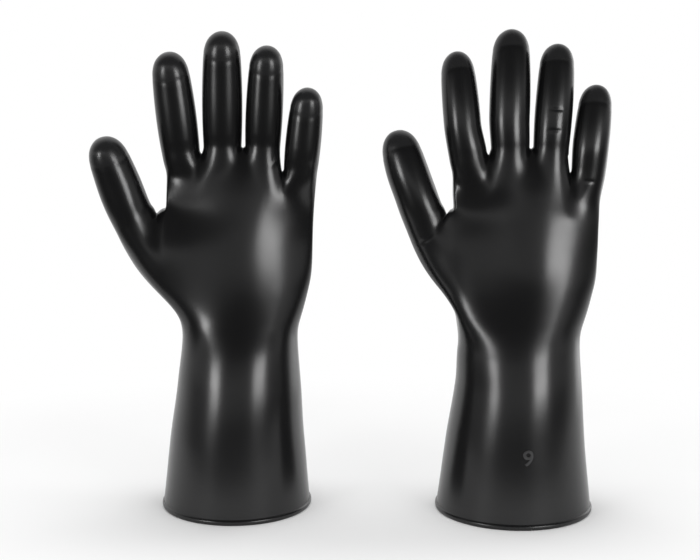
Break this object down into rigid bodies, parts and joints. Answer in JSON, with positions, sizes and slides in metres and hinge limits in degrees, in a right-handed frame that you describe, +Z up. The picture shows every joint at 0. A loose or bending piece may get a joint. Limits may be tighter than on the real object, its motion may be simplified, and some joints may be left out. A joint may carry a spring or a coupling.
{
  "type": "electrical insulating gloves",
  "caption": "Pair of black dipped-rubber gauntlet gloves with flared sleeves and rolled cuff beads, which bend at the wrist and along each digit, for insulating a worker's hands and forearms.",
  "frame": {"origin": "centre of the pair's footprint, on the surface that both cuff beads stand on", "axes": "+Z up the forearms, +X from the left glove to the right glove, -Y in front of the left palm"},
  "size_m": [0.3713, 0.1216, 0.3481],
  "materials": {
    "dipped_rubber": "smooth dipped, semi-gloss",
    "bead_rubber": "smooth rolled, semi-gloss"
  },
  "bodies": {
    "left_forearm": {"left_cuff_bead": "bead_rubber", "left_gauntlet": "dipped_rubber", "left_wrist_fold": "dipped_rubber"},
    "left_hand": {"left_palm": "dipped_rubber", "left_thumb_base_fold": "dipped_rubber", "left_index_base_fold": "dipped_rubber", "left_middle_base_fold": "dipped_rubber", "left_ring_base_fold": "dipped_rubber", "left_little_base_fold": "dipped_rubber"},
    "left_thumb_lower": {"left_thumb_shaft": "dipped_rubber", "left_thumb_mid_fold": "dipped_rubber"},
    "left_thumb_upper": {"left_thumb_tip": "dipped_rubber"},
    "left_index_lower": {"left_index_shaft": "dipped_rubber", "left_index_mid_fold": "dipped_rubber"},
    "left_index_upper": {"left_index_tip": "dipped_rubber"},
    "left_middle_lower": {"left_middle_shaft": "dipped_rubber", "left_middle_mid_fold": "dipped_rubber"},
    "left_middle_upper": {"left_middle_tip": "dipped_rubber"},
    "left_ring_lower": {"left_ring_shaft": "dipped_rubber", "left_ring_mid_fold": "dipped_rubber"},
    "left_ring_upper": {"left_ring_tip": "dipped_rubber"},
    "left_little_lower": {"left_little_shaft": "dipped_rubber", "left_little_mid_fold": "dipped_rubber"},
    "left_little_upper": {"left_little_tip": "dipped_rubber"},
    "right_forearm": {"right_cuff_bead": "bead_rubber", "right_gauntlet": "dipped_rubber", "right_wrist_fold": "dipped_rubber"},
    "right_hand": {"right_palm": "dipped_rubber", "right_thumb_base_fold": "dipped_rubber", "right_index_base_fold": "dipped_rubber", "right_middle_base_fold": "dipped_rubber", "right_ring_base_fold": "dipped_rubber", "right_little_base_fold": "dipped_rubber"},
    "right_thumb_lower": {"right_thumb_shaft": "dipped_rubber", "right_thumb_mid_fold": "dipped_rubber"},
    "right_thumb_upper": {"right_thumb_tip": "dipped_rubber"},
    "right_index_lower": {"right_index_shaft": "dipped_rubber", "right_index_mid_fold": "dipped_rubber"},
    "right_index_upper": {"right_index_tip": "dipped_rubber"},
    "right_middle_lower": {"right_middle_shaft": "dipped_rubber", "right_middle_mid_fold": "dipped_rubber"},
    "right_middle_upper": {"right_middle_tip": "dipped_rubber"},
    "right_ring_lower": {"right_ring_shaft": "dipped_rubber", "right_ring_mid_fold": "dipped_rubber"},
    "right_ring_upper": {"right_ring_tip": "dipped_rubber"},
    "right_little_lower": {"right_little_shaft": "dipped_rubber", "right_little_mid_fold": "dipped_rubber"},
    "right_little_upper": {"right_little_tip": "dipped_rubber"}
  },
  "joints": [
    {"name": "right_glove_apart", "type": "slide", "parent": "left_forearm", "child": "right_forearm", "axis": [1, 0, 0], "range_m": [0, 0.15]},
    {"name": "left_wrist_flex", "type": "hinge", "parent": "left_forearm", "child": "left_hand", "pos_m": [-0.0834, 0.005, 0.121], "axis": [1, 0, 0], "range_deg": [-35, 40], "stiffness_Nm_per_rad": 1, "deforming": ["left_wrist_fold"]},
    {"name": "left_thumb_base_flex", "type": "hinge", "parent": "left_hand", "child": "left_thumb_lower", "pos_m": [-0.15476, -0.00579, 0.21794], "axis": [0.8697, 0.3402, 0.3577], "range_deg": [-10, 40], "stiffness_Nm_per_rad": 0.06, "deforming": ["left_thumb_base_fold"]},
    {"name": "left_thumb_mid_flex", "type": "hinge", "parent": "left_thumb_lower", "child": "left_thumb_upper", "pos_m": [-0.16464, -0.00765, 0.2447], "axis": [0.8697, 0.3402, 0.3577], "range_deg": [0, 60], "stiffness_Nm_per_rad": 0.04, "deforming": ["left_thumb_mid_fold"]},
    {"name": "left_index_base_flex", "type": "hinge", "parent": "left_hand", "child": "left_index_lower", "pos_m": [-0.12407, -0.00009, 0.26983], "axis": [0.9936, 0, 0.113], "range_deg": [-10, 70], "stiffness_Nm_per_rad": 0.06, "deforming": ["left_index_base_fold"]},
    {"name": "left_index_mid_flex", "type": "hinge", "parent": "left_index_lower", "child": "left_index_upper", "pos_m": [-0.12692, -0.00208, 0.29933], "axis": [0.9936, 0, 0.113], "range_deg": [0, 80], "stiffness_Nm_per_rad": 0.04, "deforming": ["left_index_mid_fold"]},
    {"name": "left_middle_base_flex", "type": "hinge", "parent": "left_hand", "child": "left_middle_lower", "pos_m": [-0.09314, -0.00008, 0.2744], "axis": [1, 0, 0], "range_deg": [-10, 70], "stiffness_Nm_per_rad": 0.06, "deforming": ["left_middle_base_fold"]},
    {"name": "left_middle_mid_flex", "type": "hinge", "parent": "left_middle_lower", "child": "left_middle_upper", "pos_m": [-0.09253, -0.00235, 0.30906], "axis": [1, 0, 0], "range_deg": [0, 80], "stiffness_Nm_per_rad": 0.04, "deforming": ["left_middle_mid_fold"]},
    {"name": "left_ring_base_flex", "type": "hinge", "parent": "left_hand", "child": "left_ring_lower", "pos_m": [-0.06388, -0.00009, 0.27437], "axis": [0.999, 0, -0.0437], "range_deg": [-10, 70], "stiffness_Nm_per_rad": 0.06, "deforming": ["left_ring_base_fold"]},
    {"name": "left_ring_mid_flex", "type": "hinge", "parent": "left_ring_lower", "child": "left_ring_upper", "pos_m": [-0.06219, -0.00188, 0.30207], "axis": [0.999, 0, -0.0437], "range_deg": [0, 80], "stiffness_Nm_per_rad": 0.04, "deforming": ["left_ring_mid_fold"]},
    {"name": "left_little_base_flex", "type": "hinge", "parent": "left_hand", "child": "left_little_lower", "pos_m": [-0.03645, -0.00011, 0.25683], "axis": [0.9962, 0, -0.0873], "range_deg": [-10, 70], "stiffness_Nm_per_rad": 0.06, "deforming": ["left_little_base_fold"]},
    {"name": "left_little_mid_flex", "type": "hinge", "parent": "left_little_lower", "child": "left_little_upper", "pos_m": [-0.03407, -0.00167, 0.27948], "axis": [0.9962, 0, -0.0873], "range_deg": [0, 80], "stiffness_Nm_per_rad": 0.04, "deforming": ["left_little_mid_fold"]},
    {"name": "right_wrist_flex", "type": "hinge", "parent": "right_forearm", "child": "right_hand", "pos_m": [0.12251, -0.005, 0.121], "axis": [-1, 0, 0], "range_deg": [-35, 40], "stiffness_Nm_per_rad": 1, "deforming": ["right_wrist_fold"]},
    {"name": "right_thumb_base_flex", "type": "hinge", "parent": "right_hand", "child": "right_thumb_lower", "pos_m": [0.05149, 0.00579, 0.21794], "axis": [-0.87, 0.3398, -0.3573], "range_deg": [-10, 40], "stiffness_Nm_per_rad": 0.06, "deforming": ["right_thumb_base_fold"]},
    {"name": "right_thumb_mid_flex", "type": "hinge", "parent": "right_thumb_lower", "child": "right_thumb_upper", "pos_m": [0.04171, 0.00765, 0.2447], "axis": [-0.87, 0.3398, -0.3573], "range_deg": [0, 60], "stiffness_Nm_per_rad": 0.04, "deforming": ["right_thumb_mid_fold"]},
    {"name": "right_index_base_flex", "type": "hinge", "parent": "right_hand", "child": "right_index_lower", "pos_m": [0.08236, 0.00009, 0.26983], "axis": [-0.9936, 0, -0.1129], "range_deg": [-10, 70], "stiffness_Nm_per_rad": 0.06, "deforming": ["right_index_base_fold"]},
    {"name": "right_index_mid_flex", "type": "hinge", "parent": "right_index_lower", "child": "right_index_upper", "pos_m": [0.07962, 0.00208, 0.29933], "axis": [-0.9936, 0, -0.1129], "range_deg": [0, 80], "stiffness_Nm_per_rad": 0.04, "deforming": ["right_index_mid_fold"]},
    {"name": "right_middle_base_flex", "type": "hinge", "parent": "right_hand", "child": "right_middle_lower", "pos_m": [0.11331, 0.00008, 0.2744], "axis": [-1, 0, 0], "range_deg": [-10, 70], "stiffness_Nm_per_rad": 0.06, "deforming": ["right_middle_base_fold"]},
    {"name": "right_middle_mid_flex", "type": "hinge", "parent": "right_middle_lower", "child": "right_middle_upper", "pos_m": [0.11403, 0.00235, 0.30906], "axis": [-1, 0, 0], "range_deg": [0, 80], "stiffness_Nm_per_rad": 0.04, "deforming": ["right_middle_mid_fold"]},
    {"name": "right_ring_base_flex", "type": "hinge", "parent": "right_hand", "child": "right_ring_lower", "pos_m": [0.14257, 0.00009, 0.27437], "axis": [-0.999, 0, 0.0437], "range_deg": [-10, 70], "stiffness_Nm_per_rad": 0.06, "deforming": ["right_ring_base_fold"]},
    {"name": "right_ring_mid_flex", "type": "hinge", "parent": "right_ring_lower", "child": "right_ring_upper", "pos_m": [0.14436, 0.00188, 0.30207], "axis": [-0.999, 0, 0.0437], "range_deg": [0, 80], "stiffness_Nm_per_rad": 0.04, "deforming": ["right_ring_mid_fold"]},
    {"name": "right_little_base_flex", "type": "hinge", "parent": "right_hand", "child": "right_little_lower", "pos_m": [0.16994, 0.00011, 0.25683], "axis": [-0.9962, 0, 0.0873], "range_deg": [-10, 70], "stiffness_Nm_per_rad": 0.06, "deforming": ["right_little_base_fold"]},
    {"name": "right_little_mid_flex", "type": "hinge", "parent": "right_little_lower", "child": "right_little_upper", "pos_m": [0.17239, 0.00167, 0.27948], "axis": [-0.9962, 0, 0.0873], "range_deg": [0, 80], "stiffness_Nm_per_rad": 0.04, "deforming": ["right_little_mid_fold"]}
  ]
}
